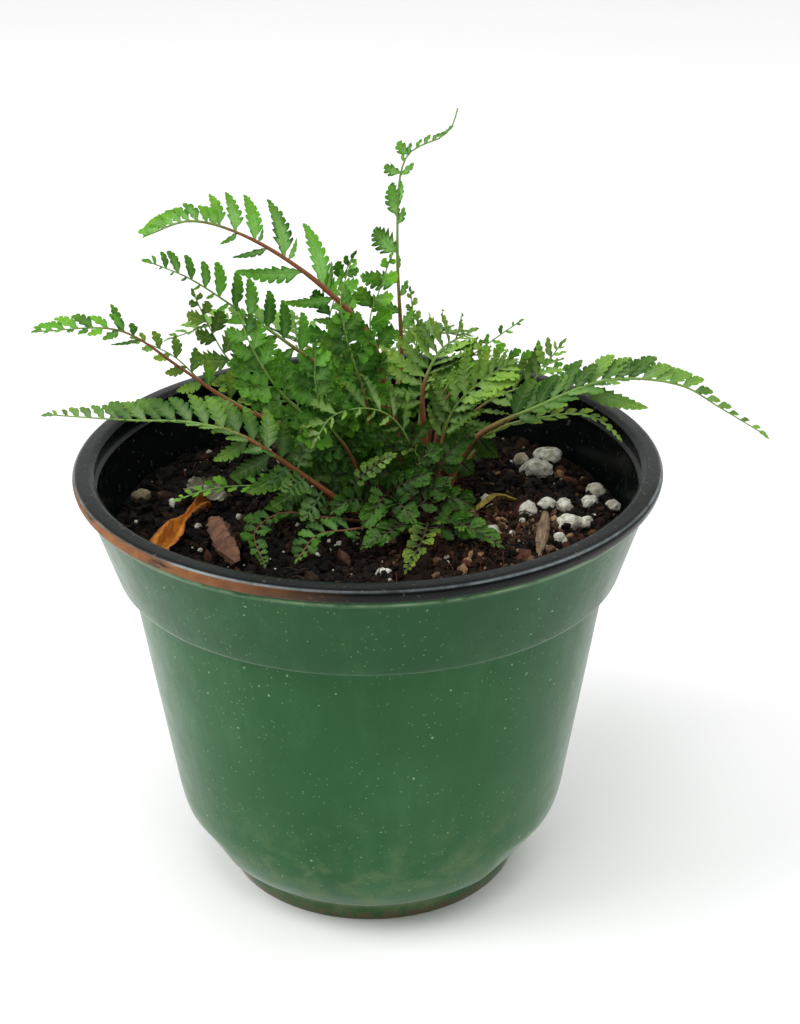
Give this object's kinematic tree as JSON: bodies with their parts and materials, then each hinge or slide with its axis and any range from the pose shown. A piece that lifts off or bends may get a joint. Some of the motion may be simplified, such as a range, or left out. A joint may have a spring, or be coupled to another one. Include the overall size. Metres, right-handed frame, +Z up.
{
  "type": "potted fern",
  "caption": "Small lacy fern with arching fronds on reddish stalks, growing in bark-rich soil in a round tapered nursery pot.",
  "frame": {"origin": "centre of the flat pad under the pot, on the pot's axis and on the surface it stands on", "axes": "+Z up along the pot's axis, -Y the front that the pot is looked at from, +X to the right"},
  "size_m": [0.2023, 0.165, 0.2182],
  "materials": {
    "pot_plastic": "satin",
    "soil": "matte",
    "rhizome": "matte",
    "leaf_green": "satin",
    "leaf_grey_green": "satin",
    "leaf_pale": "satin",
    "leaf_withered": "matte",
    "white_grain": "matte",
    "bark": "matte"
  },
  "bodies": {
    "root": {"nursery_pot": "pot_plastic", "potting_soil": "soil", "fern_crown": "rhizome", "young_crosier": "leaf_pale", "frond_tall": "leaf_green", "frond_upper_left": "leaf_green", "frond_upper_left_low": "leaf_green", "frond_far_left": "leaf_green", "frond_back_left_thin": "leaf_pale", "frond_low_left": "leaf_grey_green", "frond_right": "leaf_grey_green", "frond_inner_right": "leaf_green", "frond_back_right": "leaf_green", "frond_back_right_sprig": "leaf_green", "frond_centre": "leaf_pale", "frond_left_broad": "leaf_green", "frond_back_left": "leaf_pale", "frond_back_twig": "leaf_pale", "frond_soil_left": "leaf_green", "frond_back_arch": "leaf_grey_green", "frond_front": "leaf_green", "frond_front_yellow": "leaf_pale", "frond_front_right": "leaf_green", "frond_front_left": "leaf_green", "frond_front_left_small": "leaf_green", "frond_middle_right": "leaf_pale", "frond_inner_up": "leaf_green", "frond_beside_tall": "leaf_green", "frond_middle_left": "leaf_green", "frond_middle_low": "leaf_pale", "frond_upper_middle": "leaf_green", "frond_centre_right": "leaf_pale", "frond_back_fan": "leaf_grey_green", "withered_leaf_orange": "leaf_withered", "withered_leaf_papery": "leaf_withered", "withered_leaf_brown": "leaf_withered", "withered_leaf_yellow": "leaf_withered", "wood_sliver": "bark", "bark_chip_right": "bark", "bark_chip_left": "bark", "stone_01": "white_grain", "stone_02": "white_grain", "stone_03": "white_grain", "stone_04": "white_grain", "stone_05": "white_grain", "stone_06": "white_grain", "stone_07": "white_grain", "stone_08": "white_grain", "stone_09": "white_grain", "stone_10": "white_grain", "stone_11": "white_grain", "stone_12": "white_grain", "stone_13": "white_grain", "stone_14": "white_grain", "stone_15": "white_grain", "stone_16": "white_grain", "stone_17": "white_grain"}
  },
  "joints": []
}
